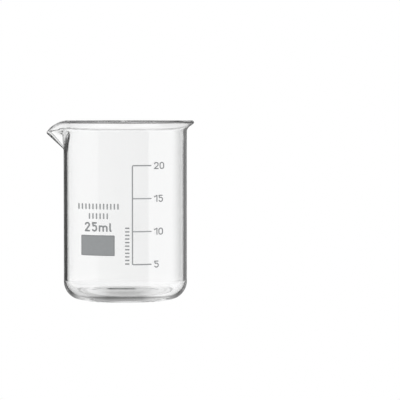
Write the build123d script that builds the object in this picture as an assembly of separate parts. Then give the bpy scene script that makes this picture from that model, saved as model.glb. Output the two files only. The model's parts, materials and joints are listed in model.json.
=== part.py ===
from build123d import *

import math
import os

# A low-form 25 ml laboratory beaker: one piece of blown borosilicate glass with a pouring
# spout, and the grey enamel marks that are fired onto the outside of its wall.
# Millimetres, +Z up. The origin is on the beaker's axis, in the plane of the bench.
# The spout points to -X and the printed side faces -Y.

# ---- driving dimensions of the glass
HEIGHT = 50.0
OUTER_RADIUS = 17.2
WALL = 0.9
BASE_THICKNESS = 1.4
BASE_CORNER_RADIUS = 5.1
FOOT_RING_WIDTH = 2.0
PUNT_HEIGHT = 0.5

# ---- driving dimensions of the rim and the spout
LIP_THICKNESS = 1.1
RIM_RADIUS = 19.2
RIM_LEAN = 55.0
RIM_BEND_RADIUS = 1.9
SPOUT_REACH = 21.9
SPOUT_TIP_HEIGHT = 46.6
SPOUT_LEAN = 47.0
SPOUT_BEND_RADIUS = 2.6
SPOUT_HALF_ANGLE = 34.0
SPOUT_TIP_ROUNDNESS = 0.15
SPOUT_REACH_POWER = 1.6
SPOUT_DROP_POWER = 2.2
SPOUT_SECTIONS = 24

# ---- driving dimensions of the enamel marks; x and z are as seen from the front
INK_THICKNESS = 0.05
LINE_PEN = 0.35
NUMERAL_PEN = 0.3
CAPACITY_PEN = 0.45
LOWEST_GRADUATION_Z = 10.85
GRADUATION_STEP = 8.96
GRADUATED_VOLUMES = (5, 10, 15, 20)
SCALE_X = 1.92
TICK_LENGTH = 5.02
SCALE_CORNER_RADIUS = 0.35
NUMERAL_X = 7.78
NUMERAL_HEIGHT = 1.94
NUMERAL_WIDTH = 1.3
NUMERAL_ONE_WIDTH = 0.96
NUMERAL_GAP = 0.23
SPOT_X = -12.05
SPOT_WIDTH = 9.14
SPOT_Z = 13.2
SPOT_HEIGHT = 5.6
SPOT_CORNER_RADIUS = 0.2
CAPACITY_X = -11.1
CAPACITY_Z = 19.75
CAPACITY_HEIGHT = 2.6
CAPACITY_WIDTH = 1.5
CAPACITY_GAP = 0.42
UNIT_HEIGHT = 1.75
UNIT_WIDTH = 2.45
STROKE_WIDTH = 0.4
STROKE_HEIGHT = 1.6
STROKE_PITCH = 0.97
NOTE_X = -7.35
UPPER_NOTE_Z = 26.6
UPPER_NOTE_STROKES = 12
LOWER_NOTE_Z = 24.0
LOWER_NOTE_STROKES = 6
SCALE_NOTE_X = 0.5
SCALE_NOTE_Z = 15.9
SCALE_NOTE_STROKES = 11
SCALE_NOTE_HEIGHT = 1.25

# ---- worked out from the above
INNER_RADIUS = OUTER_RADIUS - WALL
LIP_HALF = LIP_THICKNESS / 2
INNER_CORNER_RADIUS = BASE_CORNER_RADIUS - WALL
FOOT_RADIUS = OUTER_RADIUS - BASE_CORNER_RADIUS
PUNT_RADIUS = FOOT_RADIUS - FOOT_RING_WIDTH
SPOUT_FOOT_Z = HEIGHT - 12.0
INK_RADIUS = OUTER_RADIUS + INK_THICKNESS

# ---- room and tolerance for the solid operations
CUTTER_MARGIN = 2.0
SEAM_TOLERANCE = 0.0001


def corner_middle(centre_r, centre_z, radius, degrees):
    """A point on a rounded corner of the outline, at the given angle from +r."""
    angle = math.radians(degrees)
    return (centre_r + radius * math.cos(angle), centre_z + radius * math.sin(angle))


def in_meridian(points, turn):
    """Move (r, z) points into the upright plane that stands `turn` degrees from -X."""
    angle = math.radians(180.0 + turn)
    return [(r * math.cos(angle), r * math.sin(angle), z) for r, z in points]


def spout_weight(turn, power):
    """1 at the middle of the spout, falling smoothly to 0 at its two edges."""
    share = min(abs(turn) / SPOUT_HALF_ANGLE, 1.0)
    full_drop = math.hypot(1.0, SPOUT_TIP_ROUNDNESS) - SPOUT_TIP_ROUNDNESS
    drop = math.hypot(share, SPOUT_TIP_ROUNDNESS) - SPOUT_TIP_ROUNDNESS
    return (1.0 - drop / full_drop) ** power


def flare_side(wall_radius, bend_radius, lean, lip_r, lip_z, outward):
    """One side of the flare, wall to lip: bend start, bend middle, bend end, lip tangent."""
    tangent_r = lip_r + outward * LIP_HALF * math.cos(lean)
    tangent_z = lip_z - outward * LIP_HALF * math.sin(lean)
    bend_end_r = wall_radius + bend_radius * (1.0 - math.cos(lean))
    slope_length = (tangent_r - bend_end_r) / math.sin(lean)
    bend_end_z = tangent_z - slope_length * math.cos(lean)
    bend_start_z = bend_end_z - bend_radius * math.sin(lean)
    half = lean / 2
    middle_r = wall_radius + bend_radius * (1.0 - math.cos(half))
    middle_z = bend_start_z + bend_radius * math.sin(half)
    return [
        (wall_radius, bend_start_z),
        (middle_r, middle_z),
        (bend_end_r, bend_end_z),
        (tangent_r, tangent_z),
    ]


def rim_section(turn):
    """The upright section through wall, flare and lip, `turn` degrees from the spout."""
    reach = spout_weight(turn, SPOUT_REACH_POWER)
    sink = spout_weight(turn, SPOUT_DROP_POWER)
    lip_r = RIM_RADIUS - LIP_HALF + (SPOUT_REACH - RIM_RADIUS) * reach
    lip_z = HEIGHT - LIP_HALF - (HEIGHT - LIP_HALF - SPOUT_TIP_HEIGHT) * sink
    lean = math.radians(RIM_LEAN + (SPOUT_LEAN - RIM_LEAN) * reach)
    bend = RIM_BEND_RADIUS + (SPOUT_BEND_RADIUS - RIM_BEND_RADIUS) * reach

    outside = flare_side(OUTER_RADIUS, bend, lean, lip_r, lip_z, 1.0)
    inside = flare_side(INNER_RADIUS, bend + WALL, lean, lip_r, lip_z, -1.0)
    tip = (lip_r + LIP_HALF * math.sin(lean), lip_z + LIP_HALF * math.cos(lean))
    feet = [(OUTER_RADIUS, SPOUT_FOOT_Z), (INNER_RADIUS, SPOUT_FOOT_Z)]

    o_start, o_mid, o_end, o_lip = in_meridian(outside, turn)
    i_start, i_mid, i_end, i_lip = in_meridian(inside, turn)
    (lip_tip,) = in_meridian([tip], turn)
    o_foot, i_foot = in_meridian(feet, turn)
    return Wire(
        [
            Edge.make_line(o_foot, o_start),
            Edge.make_three_point_arc(o_start, o_mid, o_end),
            Edge.make_line(o_end, o_lip),
            Edge.make_three_point_arc(o_lip, lip_tip, i_lip),
            Edge.make_line(i_lip, i_end),
            Edge.make_three_point_arc(i_end, i_mid, i_start),
            Edge.make_line(i_start, i_foot),
            Edge.make_line(i_foot, o_foot),
        ]
    )


def lower_cup():
    """The base and the straight wall up to below the spout, turned about the axis."""
    corner = BASE_CORNER_RADIUS
    inner_corner = INNER_CORNER_RADIUS
    floor_edge = INNER_RADIUS - inner_corner
    with BuildSketch(Plane.XZ) as outline:
        with BuildLine():
            ThreePointArc(
                (0.0, PUNT_HEIGHT),
                (PUNT_RADIUS / 2, PUNT_HEIGHT * 3 / 4),
                (PUNT_RADIUS, 0.0),
            )
            Line((PUNT_RADIUS, 0.0), (FOOT_RADIUS, 0.0))
            ThreePointArc(
                (FOOT_RADIUS, 0.0),
                corner_middle(FOOT_RADIUS, corner, corner, -45.0),
                (OUTER_RADIUS, corner),
            )
            Line((OUTER_RADIUS, corner), (OUTER_RADIUS, SPOUT_FOOT_Z))
            Line((OUTER_RADIUS, SPOUT_FOOT_Z), (INNER_RADIUS, SPOUT_FOOT_Z))
            corner_z = BASE_THICKNESS + inner_corner
            Line((INNER_RADIUS, SPOUT_FOOT_Z), (INNER_RADIUS, corner_z))
            ThreePointArc(
                (INNER_RADIUS, corner_z),
                corner_middle(floor_edge, corner_z, inner_corner, -45.0),
                (floor_edge, BASE_THICKNESS),
            )
            Line((floor_edge, BASE_THICKNESS), (0.0, BASE_THICKNESS))
            Line((0.0, BASE_THICKNESS), (0.0, PUNT_HEIGHT))
        make_face()
    seam_to_spout_edge = Rot(0.0, 0.0, 180.0 - SPOUT_HALF_ANGLE)
    return seam_to_spout_edge * revolve(outline.sketch, Axis.Z)


def glass_body():
    """The whole blown glass: cup, flared rim and pouring spout in one solid."""
    rim_face = Face(rim_section(SPOUT_HALF_ANGLE))
    plain_rim = revolve(rim_face, Axis.Z, 360.0 - 2 * SPOUT_HALF_ANGLE)
    turns = [
        SPOUT_HALF_ANGLE * (2 * step / SPOUT_SECTIONS - 1)
        for step in range(SPOUT_SECTIONS + 1)
    ]
    spout = Solid.make_loft([rim_section(turn) for turn in turns])
    return lower_cup().fuse(plain_rim, spout, tol=SEAM_TOLERANCE)


def fire_onto_wall(artwork):
    """Turn flat artwork, drawn as seen from the front, into thin enamel on the wall."""
    bottom = artwork.bounding_box().min.Y
    top = artwork.bounding_box().max.Y
    band_height = top - bottom + CUTTER_MARGIN
    skin = Cylinder(INK_RADIUS, band_height) - Cylinder(OUTER_RADIUS, band_height)
    skin = Pos(0.0, 0.0, (bottom + top) / 2) * skin
    return skin & extrude(Plane.XZ * artwork, INK_RADIUS + CUTTER_MARGIN)


def bar(start, end, pen):
    """A straight pen stroke with round ends."""
    middle = ((start[0] + end[0]) / 2, (start[1] + end[1]) / 2)
    return SlotCenterPoint(middle, end, pen)


def bow(centre, radius, start_degrees, sweep_degrees, pen):
    """A pen stroke along an arc, with round ends."""
    return SlotArc(CenterArc(centre, radius, start_degrees, sweep_degrees), pen)


def on_circle(centre, radius, degrees):
    """The point on a circle at the given angle."""
    angle = math.radians(degrees)
    return (centre[0] + radius * math.cos(angle), centre[1] + radius * math.sin(angle))


def figure_0(width, height, pen):
    """The figure 0, with its left edge and its foot on the axes."""
    outer = SlotOverall(height, width, rotation=90)
    inner = SlotOverall(height - 2 * pen, width - 2 * pen, rotation=90)
    return Pos(width / 2, height / 2) * (outer - inner)


def figure_1(width, height, pen):
    """The figure 1: a stem and a short flag."""
    stem_x = width - pen / 2
    top = height - pen / 2
    stem = bar((stem_x, pen / 2), (stem_x, top), pen)
    return stem + bar((pen / 2, top - height * 0.18), (stem_x, top), pen)


def figure_2(width, height, pen):
    """The figure 2: a bowl that runs into a diagonal, and a foot."""
    radius = (width - pen) / 2
    centre = (width / 2, height - pen / 2 - radius)
    corner = (pen / 2, pen / 2)
    rise = centre[1] - corner[1]
    to_centre = math.degrees(math.atan2(rise, radius))
    spread = math.degrees(math.asin(radius / math.hypot(radius, rise)))
    touch = to_centre - spread - 90.0
    start = 165.0
    bowl = bow(centre, radius, start, touch - start, pen)
    diagonal = bar(corner, on_circle(centre, radius, touch), pen)
    return bowl + diagonal + bar(corner, (width - pen / 2, pen / 2), pen)


def figure_5(width, height, pen):
    """The figure 5: a flag, an upright spine and a bowl with an open end."""
    radius = (width - pen) / 2
    spine_x = pen * 0.6
    top = height - pen / 2
    low_centre = (width / 2, pen / 2 + radius)
    high_centre = (width / 2, height * 0.64 - radius)
    start = 125.0
    side_x = width - pen / 2
    bowl = bow(high_centre, radius, start, -start, pen)
    bowl += bar((side_x, low_centre[1]), (side_x, high_centre[1]), pen)
    bowl += bow(low_centre, radius, 0.0, -150.0, pen)
    spine = bar(on_circle(high_centre, radius, start), (spine_x, top), pen)
    return bowl + spine + bar((spine_x, top), (width - pen * 0.7, top), pen)


def letter_m(width, height, pen):
    """The small m of the unit: three stems under two arches."""
    radius = (width - pen) / 4
    arch_z = height - pen / 2 - radius
    strokes = bar((pen / 2, pen / 2), (pen / 2, height - pen / 2), pen)
    for side in (0, 1):
        centre_x = pen / 2 + radius * (1 + 2 * side)
        stem_x = centre_x + radius
        strokes += bow((centre_x, arch_z), radius, 180.0, -180.0, pen)
        strokes += bar((stem_x, pen / 2), (stem_x, arch_z), pen)
    return strokes


def letter_l(width, height, pen):
    """The small l of the unit: a stem with a curved foot."""
    radius = width - pen
    centre = (pen / 2 + radius, pen / 2 + radius)
    stem = bar((pen / 2, centre[1]), (pen / 2, height - pen / 2), pen)
    return stem + bow(centre, radius, 180.0, 75.0, pen)


def set_in_row(glyphs, gap):
    """Glyphs side by side from x = 0, each given together with its width."""
    row = Sketch()
    left = 0.0
    for glyph, width in glyphs:
        row += Pos(left, 0.0) * glyph
        left += width + gap
    return row


def graduation_z(volume):
    """Height of the graduation for a volume in millilitres."""
    return LOWEST_GRADUATION_Z + GRADUATION_STEP * (volume / 5 - 1)


def numeral(volume):
    """The figures beside one graduation, level with it."""
    styles = {
        "0": (figure_0, NUMERAL_WIDTH),
        "1": (figure_1, NUMERAL_ONE_WIDTH),
        "2": (figure_2, NUMERAL_WIDTH),
        "5": (figure_5, NUMERAL_WIDTH),
    }
    glyphs = []
    for figure in str(volume):
        draw, width = styles[figure]
        glyphs.append((draw(width, NUMERAL_HEIGHT, NUMERAL_PEN), width))
    row = set_in_row(glyphs, NUMERAL_GAP)
    foot_z = graduation_z(volume) - NUMERAL_HEIGHT / 2
    return fire_onto_wall(Pos(NUMERAL_X, foot_z) * row)


def graduation_scale():
    """One upright line with a tick to its right at each graduation."""
    low = graduation_z(GRADUATED_VOLUMES[0])
    high = graduation_z(GRADUATED_VOLUMES[-1])
    radius = SCALE_CORNER_RADIUS
    end_x = SCALE_X + TICK_LENGTH
    ladder = bar((SCALE_X, low + radius), (SCALE_X, high - radius), LINE_PEN)
    ladder += bow((SCALE_X + radius, high - radius), radius, 180.0, -90.0, LINE_PEN)
    ladder += bow((SCALE_X + radius, low + radius), radius, 180.0, 90.0, LINE_PEN)
    for volume in GRADUATED_VOLUMES:
        tick_z = graduation_z(volume)
        inner_end = volume not in (GRADUATED_VOLUMES[0], GRADUATED_VOLUMES[-1])
        start_x = SCALE_X if inner_end else SCALE_X + radius
        ladder += bar((start_x, tick_z), (end_x, tick_z), LINE_PEN)
    return fire_onto_wall(ladder)


def capacity_mark():
    """The nominal capacity: the figures 2 and 5 and the unit."""
    width = CAPACITY_WIDTH
    height = CAPACITY_HEIGHT
    slim = CAPACITY_PEN * 1.7
    glyphs = [
        (figure_2(width, height, CAPACITY_PEN), width),
        (figure_5(width, height, CAPACITY_PEN), width),
        (letter_m(UNIT_WIDTH, UNIT_HEIGHT, CAPACITY_PEN), UNIT_WIDTH),
        (letter_l(slim, height * 0.92, CAPACITY_PEN), slim),
    ]
    row = set_in_row(glyphs, CAPACITY_GAP)
    return fire_onto_wall(Pos(CAPACITY_X, CAPACITY_Z) * row)


def marking_spot():
    """The plain panel of enamel that takes pencil."""
    panel = RectangleRounded(SPOT_WIDTH, SPOT_HEIGHT, SPOT_CORNER_RADIUS)
    centre = Pos(SPOT_X + SPOT_WIDTH / 2, SPOT_Z + SPOT_HEIGHT / 2)
    return fire_onto_wall(centre * panel)


def strokes_in_row(count, height):
    """A centred row of plain upright strokes, all alike, spaced along x."""
    row = Sketch()
    for index in range(count):
        middle_x = (index - (count - 1) / 2) * STROKE_PITCH
        row += Pos(middle_x, 0.0) * SlotOverall(height, STROKE_WIDTH, rotation=90)
    return row


def note_lines():
    """Two rows of strokes above the capacity."""
    upper = Pos(NOTE_X, UPPER_NOTE_Z) * strokes_in_row(UPPER_NOTE_STROKES, STROKE_HEIGHT)
    lower = Pos(NOTE_X, LOWER_NOTE_Z) * strokes_in_row(LOWER_NOTE_STROKES, STROKE_HEIGHT)
    return fire_onto_wall(upper + lower)


def scale_note():
    """A row of strokes that climbs beside the upright line of the scale."""
    place = Pos(SCALE_NOTE_X, SCALE_NOTE_Z) * Rot(0.0, 0.0, 90.0)
    return fire_onto_wall(place * strokes_in_row(SCALE_NOTE_STROKES, SCALE_NOTE_HEIGHT))


def beaker():
    """Every piece of the beaker, by node name."""
    pieces = {
        "glass_body": glass_body(),
        "marking_spot": marking_spot(),
        "capacity_mark": capacity_mark(),
        "graduation_scale": graduation_scale(),
        "note_lines": note_lines(),
        "scale_note": scale_note(),
    }
    for volume in GRADUATED_VOLUMES:
        pieces[f"numeral_{volume}"] = numeral(volume)
    return pieces


os.makedirs("parts", exist_ok=True)
for node, shape in beaker().items():
    export_step(shape, f"parts/{node}.step")
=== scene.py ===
import json
import math

import bpy
import numpy as np
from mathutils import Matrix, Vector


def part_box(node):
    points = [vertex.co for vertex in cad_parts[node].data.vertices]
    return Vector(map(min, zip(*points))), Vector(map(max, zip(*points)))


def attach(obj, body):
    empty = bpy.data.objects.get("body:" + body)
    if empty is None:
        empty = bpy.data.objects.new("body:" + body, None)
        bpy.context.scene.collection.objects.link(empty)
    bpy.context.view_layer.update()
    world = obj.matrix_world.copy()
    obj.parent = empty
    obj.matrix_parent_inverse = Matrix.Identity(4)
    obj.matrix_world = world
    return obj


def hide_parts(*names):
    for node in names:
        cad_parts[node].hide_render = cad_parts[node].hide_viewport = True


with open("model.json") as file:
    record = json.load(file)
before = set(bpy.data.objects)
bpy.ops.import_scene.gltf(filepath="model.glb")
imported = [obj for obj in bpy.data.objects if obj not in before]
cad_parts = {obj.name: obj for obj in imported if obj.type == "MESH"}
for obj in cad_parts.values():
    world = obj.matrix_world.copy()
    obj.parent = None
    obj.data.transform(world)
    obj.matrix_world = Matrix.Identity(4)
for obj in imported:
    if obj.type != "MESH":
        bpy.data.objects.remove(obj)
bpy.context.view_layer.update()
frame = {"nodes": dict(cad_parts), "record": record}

# The looks of a small borosilicate beaker with grey enamel marks, on a white studio sweep.
# Everything is in metres, in the row frame: +Z up, spout to -X, printed side to -Y.

MM = 0.001

# ---- sizes read from the frame
glass_low, glass_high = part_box("glass_body")
HEIGHT = glass_high.z
RIM_RADIUS = glass_high.x
SPOUT_REACH = -glass_low.x
MOUNTS = {mount["name"]: mount for mount in frame["record"]["mounts"]}
INNER_RADIUS = MOUNTS["inner_wall"]["dims"]["r_mm"] * MM
OUTER_RADIUS = min(
    math.hypot(vertex.co.x, vertex.co.y)
    for vertex in frame["nodes"]["graduation_scale"].data.vertices
)
WALL = OUTER_RADIUS - INNER_RADIUS

# ---- shape of the glass that the frame has no figure for
BASE_THICKNESS = 1.4 * MM
BASE_CORNER_RADIUS = 5.1 * MM
FOOT_RING_WIDTH = 2.0 * MM
PUNT_HEIGHT = 0.5 * MM
LIP_HALF = 0.55 * MM
RIM_LEAN = math.radians(55.0)
# The inside of the flare is steeper than its outside, so it thins from the lip to the wall.
RIM_INNER_LEAN_CHANGE = math.radians(-7.0)
RIM_BEND_RADIUS = 1.9 * MM
SPOUT_LEAN = math.radians(47.0)
SPOUT_SIDE_LEAN = math.radians(72.0)
SPOUT_KEEL_HALF_ANGLE = math.radians(15.0)
SPOUT_BEND_RADIUS = 0.8 * MM
SPOUT_TIP_HEIGHT = HEIGHT - 3.4 * MM
SPOUT_HALF_ANGLE = math.radians(34.0)
SPOUT_TIP_ROUNDNESS = 0.15
SPOUT_REACH_POWER = 1.6
SPOUT_DROP_POWER = 2.2
POLE_SHARE = 0.02
TURNS = 384


def spout_weight(turn, power):
    """1 at the middle of the spout, falling smoothly to 0 at its two edges."""
    share = min(abs(turn) / SPOUT_HALF_ANGLE, 1.0)
    full_drop = math.hypot(1.0, SPOUT_TIP_ROUNDNESS) - SPOUT_TIP_ROUNDNESS
    drop = math.hypot(share, SPOUT_TIP_ROUNDNESS) - SPOUT_TIP_ROUNDNESS
    return max(1.0 - drop / full_drop, 0.0) ** power


def keel_weight(turn):
    """1 along the keel under the spout, falling smoothly to 0 a little to each side."""
    share = 1.0 - min(abs(turn) / SPOUT_KEEL_HALF_ANGLE, 1.0)
    return share * share * (3.0 - 2.0 * share)


def arc(centre, radius, start, end, steps):
    """Points along an arc, both ends included; angles are in radians from +r."""
    angles = np.linspace(start, end, steps + 1)
    return [(centre[0] + radius * math.cos(a), centre[1] + radius * math.sin(a)) for a in angles]


def line(start, end, steps):
    """Points along a straight stretch, both ends included."""
    shares = np.linspace(0.0, 1.0, steps + 1)
    return [
        (start[0] + (end[0] - start[0]) * s, start[1] + (end[1] - start[1]) * s) for s in shares
    ]


def joined(*stretches):
    """One run of points from stretches that share their end points."""
    run = list(stretches[0])
    for stretch in stretches[1:]:
        run += stretch[1:]
    return run


def flare(wall_radius, bend_radius, lean, lip, outward):
    """Bend centre and lip tangent of one side of the flare."""
    tangent = (
        lip[0] + outward * LIP_HALF * math.cos(lean),
        lip[1] - outward * LIP_HALF * math.sin(lean),
    )
    bend_end_r = wall_radius + bend_radius * (1.0 - math.cos(lean))
    slope_length = (tangent[0] - bend_end_r) / math.sin(lean)
    bend_z = tangent[1] - slope_length * math.cos(lean) - bend_radius * math.sin(lean)
    return (wall_radius + bend_radius, bend_z), tangent


def meridian(turn):
    """The closed outline of the glass in the upright half plane at this turn from the spout.

    It runs from under the base, up the outside, over the lip, down the inside to the floor.
    """
    reach = spout_weight(turn, SPOUT_REACH_POWER)
    sink = spout_weight(turn, SPOUT_DROP_POWER)
    rim_z = HEIGHT - LIP_HALF
    lip = (
        RIM_RADIUS - LIP_HALF + (SPOUT_REACH - RIM_RADIUS) * reach,
        rim_z - (rim_z - SPOUT_TIP_HEIGHT) * sink,
    )
    side_lean = RIM_LEAN + (SPOUT_SIDE_LEAN - RIM_LEAN) * reach
    lean = side_lean + (SPOUT_LEAN - side_lean) * keel_weight(turn)
    bend = RIM_BEND_RADIUS + (SPOUT_BEND_RADIUS - RIM_BEND_RADIUS) * reach
    in_bend = bend + WALL
    out_centre, out_tangent = flare(OUTER_RADIUS, bend, lean, lip, 1.0)
    in_lean = lean + RIM_INNER_LEAN_CHANGE
    in_centre, in_tangent = flare(INNER_RADIUS, in_bend, in_lean, lip, -1.0)

    foot_radius = OUTER_RADIUS - BASE_CORNER_RADIUS
    punt_radius = foot_radius - FOOT_RING_WIDTH
    inner_corner = BASE_CORNER_RADIUS - WALL
    floor_radius = INNER_RADIUS - inner_corner
    floor_z = BASE_THICKNESS
    quarter = math.pi / 2
    punt = [
        (punt_radius * s, PUNT_HEIGHT * (1.0 - s * s)) for s in np.linspace(POLE_SHARE, 1.0, 13)
    ]
    outside = joined(
        punt,
        line((punt_radius, 0.0), (foot_radius, 0.0), 4),
        arc((foot_radius, BASE_CORNER_RADIUS), BASE_CORNER_RADIUS, -quarter, 0.0, 28),
        line((OUTER_RADIUS, BASE_CORNER_RADIUS), (OUTER_RADIUS, out_centre[1]), 40),
        arc(out_centre, bend, math.pi, math.pi - lean, 12),
        line(
            (out_centre[0] - bend * math.cos(lean), out_centre[1] + bend * math.sin(lean)),
            out_tangent,
            6,
        ),
    )
    over_lip = arc(lip, LIP_HALF, -lean, math.pi - in_lean, 20)
    inside = joined(
        line(
            in_tangent,
            (
                in_centre[0] - in_bend * math.cos(in_lean),
                in_centre[1] + in_bend * math.sin(in_lean),
            ),
            6,
        ),
        arc(in_centre, in_bend, math.pi - in_lean, math.pi, 14),
        line((INNER_RADIUS, in_centre[1]), (INNER_RADIUS, floor_z + inner_corner), 40),
        arc((floor_radius, floor_z + inner_corner), inner_corner, 0.0, -quarter, 28),
        line((floor_radius, floor_z), (POLE_SHARE * punt_radius, floor_z), 12),
    )
    return joined(outside, over_lip, inside)


def glass_mesh():
    """A smooth mesh of quads turned about the axis, closed at the two poles."""
    full_turn = 2 * math.pi
    rows = [meridian(math.remainder(full_turn * k / TURNS, full_turn)) for k in range(TURNS)]
    count = len(rows[0])
    vertices = []
    for k, row in enumerate(rows):
        angle = math.pi + full_turn * k / TURNS
        vertices += [(r * math.cos(angle), r * math.sin(angle), z) for r, z in row]
    faces = []
    for k in range(TURNS):
        a, b = k * count, ((k + 1) % TURNS) * count
        faces += [(a + i, b + i, b + i + 1, a + i + 1) for i in range(count - 1)]
    under = len(vertices)
    vertices.append((0.0, 0.0, PUNT_HEIGHT))
    floor = len(vertices)
    vertices.append((0.0, 0.0, BASE_THICKNESS))
    for k in range(TURNS):
        a, b = k * count, ((k + 1) % TURNS) * count
        faces.append((b, a, under))
        faces.append((a + count - 1, b + count - 1, floor))
    mesh = bpy.data.meshes.new("glass_body_blown")
    mesh.from_pydata(vertices, [], faces)
    mesh.polygons.foreach_set("use_smooth", [True] * len(mesh.polygons))
    mesh.update()
    return mesh


def maths(tree, operation, a, b=0.0):
    """A maths node on values or sockets; gives its output socket."""
    node = tree.nodes.new("ShaderNodeMath")
    node.operation = operation
    for socket, value in zip(node.inputs, (a, b)):
        if isinstance(value, (int, float)):
            socket.default_value = value
        else:
            tree.links.new(value, socket)
    return node.outputs[0]


def blend(tree, share, a, b):
    """a where the share is 0, b where it is 1."""
    node = tree.nodes.new("ShaderNodeMix")
    node.data_type = "FLOAT"
    tree.links.new(share, node.inputs["Factor"])
    for name, value in (("A", a), ("B", b)):
        if isinstance(value, (int, float)):
            node.inputs[name].default_value = value
        else:
            tree.links.new(value, node.inputs[name])
    return node.outputs["Result"]


def ramp(tree, value, stops):
    """Straight stretches between (value, level) stops."""
    low, high = stops[0][0], stops[-1][0]
    node = tree.nodes.new("ShaderNodeValToRGB")
    node.color_ramp.interpolation = "LINEAR"
    elements = node.color_ramp.elements
    elements.remove(elements[0])
    for index, (place, level) in enumerate(stops):
        position = (place - low) / (high - low)
        element = elements[0] if index == 0 else elements.new(position)
        element.position = position
        element.color = (level, level, level, 1.0)
    above_low = maths(tree, "SUBTRACT", value, low)
    tree.links.new(maths(tree, "DIVIDE", above_low, high - low), node.inputs[0])
    return node.outputs[0]


def noise(tree, coords, size, detail):
    """Smooth noise with features of about this size; gives its value socket."""
    node = tree.nodes.new("ShaderNodeTexNoise")
    node.inputs["Scale"].default_value = 1.0 / size
    node.inputs["Detail"].default_value = detail
    tree.links.new(coords, node.inputs["Vector"])
    return node.outputs[0]


def axes_of(tree, vector):
    """The X, Y and Z sockets of a vector socket."""
    node = tree.nodes.new("ShaderNodeSeparateXYZ")
    tree.links.new(vector, node.inputs[0])
    return node.outputs


def bumped(tree, shader, height, depth):
    """Make the surface uneven by a height socket; gives the bump node."""
    bump = tree.nodes.new("ShaderNodeBump")
    bump.inputs["Distance"].default_value = depth
    tree.links.new(height, bump.inputs["Height"])
    tree.links.new(bump.outputs[0], shader.inputs["Normal"])
    return bump


def spread(tree, value, low, width):
    """A 0-to-1 socket brought to the range from low to low + width."""
    return maths(tree, "ADD", maths(tree, "MULTIPLY", value, width), low)


def node_material(name):
    """A new node material and its Principled shader."""
    material = bpy.data.materials.new(name)
    material.use_nodes = True
    return material, material.node_tree, material.node_tree.nodes["Principled BSDF"]


# ---- glass: refraction, tint, and slow waves whose strength goes by height in millimetres
GLASS_REFRACTION = 1.473
GLASS_TINTS = ((0.987, 0.99, 0.989, 1.0), (0.991, 0.992, 0.992, 1.0))
WAVE_LENGTH = 4.0 * MM
WAVE_HEIGHT = 0.05 * MM
WAVE_STRENGTH = [(0, 0.1), (42, 0.1), (46, 1.0), (50, 1.0)]


def glass_material():
    """Clear borosilicate glass: a faint uneven tint, and slow waves that are strongest at the rim."""
    material, tree, shader = node_material("borosilicate_glass")
    shader.inputs["Transmission Weight"].default_value = 1.0
    shader.inputs["IOR"].default_value = GLASS_REFRACTION
    shader.inputs["Roughness"].default_value = 0.0
    coords = tree.nodes.new("ShaderNodeTexCoord").outputs["Object"]
    waves = noise(tree, coords, WAVE_LENGTH, 1.0)
    height_mm = maths(tree, "DIVIDE", axes_of(tree, coords)["Z"], MM)
    bump = bumped(tree, shader, waves, WAVE_HEIGHT)
    tree.links.new(ramp(tree, height_mm, WAVE_STRENGTH), bump.inputs["Strength"])
    tint = tree.nodes.new("ShaderNodeMix")
    tint.data_type = "RGBA"
    for socket, colour in zip(("A", "B"), GLASS_TINTS):
        tint.inputs[socket].default_value = colour
    tree.links.new(waves, tint.inputs["Factor"])
    tree.links.new(tint.outputs["Result"], shader.inputs["Base Color"])
    return material


# ---- fired enamel: how pale the marks are, then its unevenness; pairs are (lowest, width)
ENAMEL_GREY = 0.29
ENAMEL_SHADES = {
    "graduation_scale": 0.37,
    "note_lines": 0.34,
    "scale_note": 0.34,
    "marking_spot": 0.318,
}
ENAMEL_CAST = {"Red": 0.965, "Green": 1.0, "Blue": 1.02}
ENAMEL_MOTTLE_SIZE = 0.8 * MM
ENAMEL_MOTTLE_RANGE = (0.92, 0.16)
ENAMEL_GRAIN_SIZE = 0.09 * MM
ENAMEL_GRAIN_RANGE = (0.95, 0.1)
ENAMEL_GRAIN_HEIGHT = 0.006 * MM
ENAMEL_ROUGHNESS_RANGE = (0.48, 0.24)
ENAMEL_POOLED_WIDTH = 0.45 * MM
ENAMEL_POOLED_SHADE = 0.76


def edge_share(tree, coords, low, high):
    """0 at the outer bounds of a mark, rising to 1 where the pooled enamel along them ends."""
    axes = axes_of(tree, coords)
    distances = []
    for axis in ("X", "Z"):
        distances.append(maths(tree, "SUBTRACT", axes[axis], getattr(low, axis.lower())))
        distances.append(maths(tree, "SUBTRACT", getattr(high, axis.lower()), axes[axis]))
    nearest = distances[0]
    for distance in distances[1:]:
        nearest = maths(tree, "MINIMUM", nearest, distance)
    share = maths(tree, "DIVIDE", nearest, ENAMEL_POOLED_WIDTH)
    return maths(tree, "MINIMUM", maths(tree, "MAXIMUM", share, 0.0), 1.0)


def enamel_material(name):
    """Matt grey ceramic enamel: mottled, finely grained, and darker round the bounds of a mark."""
    material, tree, shader = node_material("grey_enamel_" + name)
    coords = tree.nodes.new("ShaderNodeTexCoord").outputs["Object"]
    mottle = noise(tree, coords, ENAMEL_MOTTLE_SIZE, 3.0)
    grain = noise(tree, coords, ENAMEL_GRAIN_SIZE, 2.0)
    pooled = blend(tree, edge_share(tree, coords, *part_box(name)), ENAMEL_POOLED_SHADE, 1.0)
    shade = maths(tree, "MULTIPLY", pooled, ENAMEL_SHADES.get(name, ENAMEL_GREY))
    shade = maths(tree, "MULTIPLY", shade, spread(tree, mottle, *ENAMEL_MOTTLE_RANGE))
    shade = maths(tree, "MULTIPLY", shade, spread(tree, grain, *ENAMEL_GRAIN_RANGE))
    colour = tree.nodes.new("ShaderNodeCombineColor")
    for channel, cast in ENAMEL_CAST.items():
        tree.links.new(maths(tree, "MULTIPLY", shade, cast), colour.inputs[channel])
    tree.links.new(colour.outputs[0], shader.inputs["Base Color"])
    roughness = spread(tree, mottle, *ENAMEL_ROUGHNESS_RANGE)
    tree.links.new(roughness, shader.inputs["Roughness"])
    bumped(tree, shader, grain, ENAMEL_GRAIN_HEIGHT)
    return material


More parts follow.
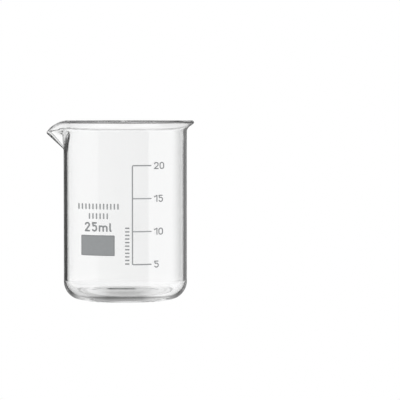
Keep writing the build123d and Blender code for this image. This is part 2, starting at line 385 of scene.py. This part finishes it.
beaker = bpy.data.objects.new("beaker_glass", glass_mesh())
bpy.context.scene.collection.objects.link(beaker)
beaker.data.materials.append(glass_material())
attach(beaker, "root")
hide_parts("glass_body")

for name, node in frame["nodes"].items():
    if name != "glass_body":
        node.data.materials.clear()
        node.data.materials.append(enamel_material(name))


# ---- studio
# Light levels round the beaker, by degrees to the right of where the camera looks.
# What is seen through the glass: the white sweep, then the darker sides of the room.
SEEN_THROUGH = [
    (-180, 0.3), (-60, 0.05), (-32, 0.14), (-26, 0.74), (-20, 1.2), (-14, 1.2), (-5, 1.04),
    (0, 0.97), (4, 0.99), (10, 1.0), (16, 1.03), (24, 0.85), (32, 0.3), (60, 0.1), (180, 0.3),
]
# What the near wall mirrors: two soft boxes beside the camera, and dark screens ahead.
SEEN_NEAR = [
    (-180, 0.15), (-130, 0.15), (-129, 0.6), (-50, 0.6), (-49, 0.06), (-1, 0.06),
    (1, 0.2), (60, 0.2), (80, 1.3), (133, 1.3), (134, 0.15), (180, 0.15),
]
# What the outermost edges of the wall show, after two or three mirrorings inside the glass.
SEEN_DEEP = [
    (-180, 0.3), (-60, 0.08), (-10, 0.07), (-4, 0.9), (4, 0.9), (10, 0.12), (60, 0.12), (180, 0.3),
]
# What the rounded corner of the base shows, after many turns round it.
SEEN_CORNER = [
    (-180, 0.4), (-110, 0.3), (-80, 0.16), (-45, 0.12), (-35, 0.18), (-14, 0.4), (-6, 0.8),
    (4, 0.8), (12, 0.6), (25, 0.35), (35, 0.2), (45, 0.08), (105, 0.08), (120, 0.3), (180, 0.4),
]
# What the fire-polished rim shows.
SEEN_RIM = [(-180, 0.42), (-40, 0.36), (-8, 0.2), (4, 0.2), (20, 0.3), (180, 0.36)]
# How the light falls off above and below the level of the eye.
SEEN_UPRIGHT = [(-90, 0.4), (-50, 0.7), (-25, 1.0), (35, 1.0), (45, 0.35), (90, 0.3)]
# Above the dark screens hangs a soft light, and the bench fills in below them.
TOP_LIGHT = [(-90, 0.0), (12, 0.0), (20, 1.2), (90, 1.2)]
BENCH_FILL = [(-90, 0.95), (-12, 0.95), (-6, 0.0), (90, 0.0)]
# A painted dark reflection: a small dark strip in the world a little above eye level, which only
# mirrored rays see, so the floor of the glass shows a dark dash.
DARK_DASH_ACROSS = [(-4.1, 0.0), (-3.7, 1.0), (-1.4, 1.0), (-0.9, 0.0)]
DARK_DASH_UPRIGHT = [(4.5, 0.0), (5.2, 1.0), (7.2, 1.0), (8.2, 0.0)]
# Which sights belong to which table: faces crossed, mirrorings, and degrees off the middle.
NEAR_FACES_CROSSED = 4
DEEP_MIRRORINGS = 2
CORNER_MIRRORINGS = 7
RIM_FACES_CROSSED = 3
RIM_ASIDE = 35.0
RIM_MIDDLE_HEIGHT = 11.0
RIM_HALF_HEIGHT = 19.0


def at_least(tree, paths, kind, count):
    """1 once a ray has met so many surfaces of one kind, else 0."""
    return maths(tree, "GREATER_THAN", paths.outputs[kind], count - 0.5)


def fewer_than(tree, paths, kind, count):
    """1 until a ray has met so many surfaces of one kind, then 0."""
    return maths(tree, "LESS_THAN", paths.outputs[kind], count - 0.5)


def angles_from_camera(tree):
    """Degrees to the right of and above the line of sight, for a direction in the world."""
    to_camera = tree.nodes.new("ShaderNodeVectorTransform")
    to_camera.vector_type = "VECTOR"
    to_camera.convert_from = "WORLD"
    to_camera.convert_to = "CAMERA"
    coords = tree.nodes.new("ShaderNodeTexCoord")
    tree.links.new(coords.outputs["Generated"], to_camera.inputs[0])
    axes = axes_of(tree, to_camera.outputs[0])
    across = maths(tree, "DEGREES", maths(tree, "ARCTAN2", axes["X"], axes["Z"]))
    height = maths(tree, "DEGREES", maths(tree, "ARCSINE", axes["Y"]))
    return across, height


def near_screens(tree, paths, across, height):
    """What the near wall mirrors: soft boxes, dark screens, the top light and the bench."""
    screens = maths(tree, "MAXIMUM", ramp(tree, across, SEEN_NEAR), ramp(tree, height, TOP_LIGHT))
    entered = at_least(tree, paths, "Transmission Depth", 1)
    fill = maths(tree, "MULTIPLY", entered, ramp(tree, height, BENCH_FILL))
    return maths(tree, "MAXIMUM", screens, fill)


def rim_share(tree, paths, across, height):
    """1 for sights through the rim: from inside the glass, far aside or steeply up or down."""
    inside = at_least(tree, paths, "Transmission Depth", RIM_FACES_CROSSED)
    aside = maths(tree, "GREATER_THAN", maths(tree, "ABSOLUTE", across), RIM_ASIDE)
    off_middle = maths(tree, "ABSOLUTE", maths(tree, "SUBTRACT", height, RIM_MIDDLE_HEIGHT))
    steep = maths(tree, "GREATER_THAN", off_middle, RIM_HALF_HEIGHT)
    return maths(tree, "MULTIPLY", inside, maths(tree, "MAXIMUM", aside, steep))


def studio_world():
    """White behind the glass and dark at the sides, fixed to the camera."""
    world = bpy.data.worlds.new("studio")
    bpy.context.scene.world = world
    world.use_nodes = True
    tree = world.node_tree
    paths = tree.nodes.new("ShaderNodeLightPath")
    across, height = angles_from_camera(tree)
    mirrored = at_least(tree, paths, "Glossy Depth", 1)
    outside = fewer_than(tree, paths, "Transmission Depth", NEAR_FACES_CROSSED)
    near = maths(tree, "MULTIPLY", mirrored, outside)
    deep = at_least(tree, paths, "Glossy Depth", DEEP_MIRRORINGS)
    corner = at_least(tree, paths, "Glossy Depth", CORNER_MIRRORINGS)
    screens = near_screens(tree, paths, across, height)
    seen = blend(tree, near, ramp(tree, across, SEEN_THROUGH), screens)
    seen = blend(tree, deep, seen, ramp(tree, across, SEEN_DEEP))
    seen = blend(tree, corner, seen, ramp(tree, across, SEEN_CORNER))
    seen = maths(tree, "MULTIPLY", seen, ramp(tree, height, SEEN_UPRIGHT))
    rim = rim_share(tree, paths, across, height)
    seen = blend(tree, rim, seen, ramp(tree, across, SEEN_RIM))
    # Painted dark reflection: the dark strip is shown only to mirrored rays.
    painted_dash = maths(
        tree, "MULTIPLY", ramp(tree, across, DARK_DASH_ACROSS), ramp(tree, height, DARK_DASH_UPRIGHT)
    )
    painted_dash = maths(tree, "MULTIPLY", painted_dash, mirrored)
    seen = maths(tree, "MULTIPLY", seen, maths(tree, "SUBTRACT", 1.0, painted_dash))
    plain = maths(tree, "MAXIMUM", paths.outputs["Is Camera Ray"], paths.outputs["Is Diffuse Ray"])
    background = tree.nodes["Background"]
    background.inputs["Color"].default_value = (1.0, 1.0, 1.0, 1.0)
    tree.links.new(blend(tree, plain, seen, 1.0), background.inputs["Strength"])


# Painted shadow and painted light on the bench under the beaker, by millimetres from its axis and
# across it: a contact shadow, darker down the middle, that only rays coming by way of the glass see.
# Seen through the glass, under the hollow:
BENCH_HOLLOW_ROUND = [(0, 1.15), (2, 1.0), (6.5, 1.0), (8, 1.35), (10, 1.5), (24, 1.5)]
BENCH_HOLLOW_ACROSS = [
    (-17, 0.7), (-9, 0.52), (-6, 0.5), (-4.5, 0.38), (0, 0.32), (3.5, 0.35), (6, 0.48), (9, 0.52),
    (17, 0.7),
]
# Under the foot ring and just outside it, and where that takes over from the hollow:
BENCH_FOOT_ROUND = [
    (0, 0.4), (11.2, 0.4), (12, 1.0), (12.9, 1.05), (13.4, 0.6), (13.8, 0.42), (14.1, 0.75),
    (14.6, 1.3), (24, 1.4),
]
BENCH_FOOT_ACROSS = [
    (-17, 0.7), (-10, 0.5), (-8, 0.44), (-5, 0.24), (0, 0.32), (4.5, 0.34), (7, 0.65), (9, 0.8),
    (17, 0.85),
]
BENCH_FOOT_EDGE = [(0, 0.0), (11.0, 0.0), (11.6, 1.0), (24, 1.0)]
# Behind the axis, by millimetres towards the back, where it is evenly bright:
BENCH_BACK = [(-17, 0.0), (3, 0.0), (7, 1.0), (17, 1.0)]
BENCH_BACK_LEVEL = 1.02
# Seen steeply through one sheet of glass, where it is a soft round painted shadow:
BENCH_ABOVE_ROUND = [(0, 0.88), (9, 0.86), (11.5, 0.7), (13, 0.72), (17, 0.92), (24, 1.0)]
BENCH_ABOVE_STEEPNESS = [(0, 0.0), (0.5, 0.0), (0.8, 1.0), (1, 1.0)]
BENCH_ABOVE_FACES_CROSSED = 3
# As the outside of the glass mirrors it, darker past the foot as a painted dark reflection:
BENCH_MIRRORED = [(0, 1.0), (13.4, 1.0), (14.4, 0.25), (24, 0.25)]
# Past this ring the bench is clear to other rays than the camera's own.
BENCH_SHADE_START = 34.0 * MM
BENCH_SHADE_END = 40.0 * MM
FLOOR_REACH = 3.0
FLOOR_GAP = 0.02 * MM


def bench_shade(tree, axes, radius):
    """Painted shadow and light: how bright the bench looks to a ray that comes by way of the glass.
    """
    round_mm = maths(tree, "DIVIDE", radius, MM)
    across_mm = maths(tree, "DIVIDE", axes["X"], MM)
    back_mm = maths(tree, "DIVIDE", axes["Y"], MM)
    hollow_round = ramp(tree, round_mm, BENCH_HOLLOW_ROUND)
    hollow = maths(tree, "MULTIPLY", hollow_round, ramp(tree, across_mm, BENCH_HOLLOW_ACROSS))
    foot_round = ramp(tree, round_mm, BENCH_FOOT_ROUND)
    foot = maths(tree, "MULTIPLY", foot_round, ramp(tree, across_mm, BENCH_FOOT_ACROSS))
    shade = blend(tree, ramp(tree, round_mm, BENCH_FOOT_EDGE), hollow, foot)
    shade = blend(tree, ramp(tree, back_mm, BENCH_BACK), shade, BENCH_BACK_LEVEL)

    paths = tree.nodes.new("ShaderNodeLightPath")
    sight = tree.nodes.new("ShaderNodeNewGeometry").outputs["Incoming"]
    steepness = maths(tree, "ABSOLUTE", axes_of(tree, sight)["Z"])
    straight = fewer_than(tree, paths, "Glossy Depth", 1)
    one_sheet = fewer_than(tree, paths, "Transmission Depth", BENCH_ABOVE_FACES_CROSSED)
    above = maths(tree, "MULTIPLY", straight, one_sheet)
    above = maths(tree, "MULTIPLY", above, ramp(tree, steepness, BENCH_ABOVE_STEEPNESS))
    shade = blend(tree, above, shade, ramp(tree, round_mm, BENCH_ABOVE_ROUND))
    entered = at_least(tree, paths, "Transmission Depth", 1)
    # Painted dark reflection: rays mirrored off the outside of the glass see the bench darker past
    # the foot.
    return blend(tree, entered, ramp(tree, round_mm, BENCH_MIRRORED), shade)


def floor_material():
    """Plain white to the camera; round the beaker, painted shadow and light for rays that come by the
    glass.
    """
    material, tree, shader = node_material("floor_white_painted_shadow")
    tree.nodes.remove(shader)
    axes = axes_of(tree, tree.nodes.new("ShaderNodeTexCoord").outputs["Object"])
    squares = [maths(tree, "POWER", axes[axis], 2.0) for axis in ("X", "Y")]
    radius = maths(tree, "SQRT", maths(tree, "ADD", *squares))
    camera_ray = tree.nodes.new("ShaderNodeLightPath").outputs["Is Camera Ray"]
    emission = tree.nodes.new("ShaderNodeEmission")
    shade = bench_shade(tree, axes, radius)
    tree.links.new(blend(tree, camera_ray, shade, 1.0), emission.inputs["Strength"])
    clear = tree.nodes.new("ShaderNodeBsdfTransparent")
    far = maths(tree, "SUBTRACT", radius, BENCH_SHADE_START)
    far = maths(tree, "DIVIDE", far, BENCH_SHADE_END - BENCH_SHADE_START)
    far = maths(tree, "MINIMUM", maths(tree, "MAXIMUM", far, 0.0), 1.0)
    mix = tree.nodes.new("ShaderNodeMixShader")
    tree.links.new(blend(tree, camera_ray, far, 0.0), mix.inputs[0])
    tree.links.new(emission.outputs[0], mix.inputs[1])
    tree.links.new(clear.outputs[0], mix.inputs[2])
    tree.links.new(mix.outputs[0], tree.nodes["Material Output"].inputs["Surface"])
    return material


def floor_sheet():
    """The white sweep that the beaker stands on: plain to the camera, with painted shadow round the
    beaker for rays that come by the glass.
    """
    corners = [(-1, -1), (1, -1), (1, 1), (-1, 1)]
    mesh = bpy.data.meshes.new("floor")
    mesh.from_pydata([(FLOOR_REACH * x, FLOOR_REACH * y, 0.0) for x, y in corners], [], [range(4)])
    mesh.materials.append(floor_material())
    sheet = bpy.data.objects.new("floor", mesh)
    bpy.context.scene.collection.objects.link(sheet)
    sheet.location.z = -FLOOR_GAP
    sheet.visible_diffuse = False
    sheet.visible_shadow = False


# ---- camera: at rim height in front of the beaker, turned right and down from its rim
CAMERA_DISTANCE = 0.56
CAMERA_YAW = math.radians(2.13627)
CAMERA_PITCH = math.radians(2.27626)
CAMERA_LENS = 180.2304
CAMERA_SENSOR = 36.0


def long_lens_camera():
    """A long lens at rim height; the beaker stands left of the middle of a square frame."""
    data = bpy.data.cameras.new("camera")
    camera = bpy.data.objects.new("camera", data)
    bpy.context.scene.collection.objects.link(camera)
    data.sensor_width = CAMERA_SENSOR
    data.lens = CAMERA_LENS
    data.clip_start = 0.01
    data.clip_end = 50.0
    camera.location = (0.0, -CAMERA_DISTANCE, HEIGHT)
    camera.rotation_euler = (math.pi / 2 - CAMERA_PITCH, 0.0, -CAMERA_YAW)
    bpy.context.scene.camera = camera


studio_world()
floor_sheet()
long_lens_camera()

# Light goes round the base corner and the rim many times before it leaves the glass.
MOST_BOUNCES = 160
scene = bpy.context.scene
scene.view_settings.view_transform = "Standard"
scene.cycles.max_bounces = MOST_BOUNCES
scene.cycles.transmission_bounces = MOST_BOUNCES
scene.cycles.glossy_bounces = MOST_BOUNCES
scene.cycles.use_denoising = True
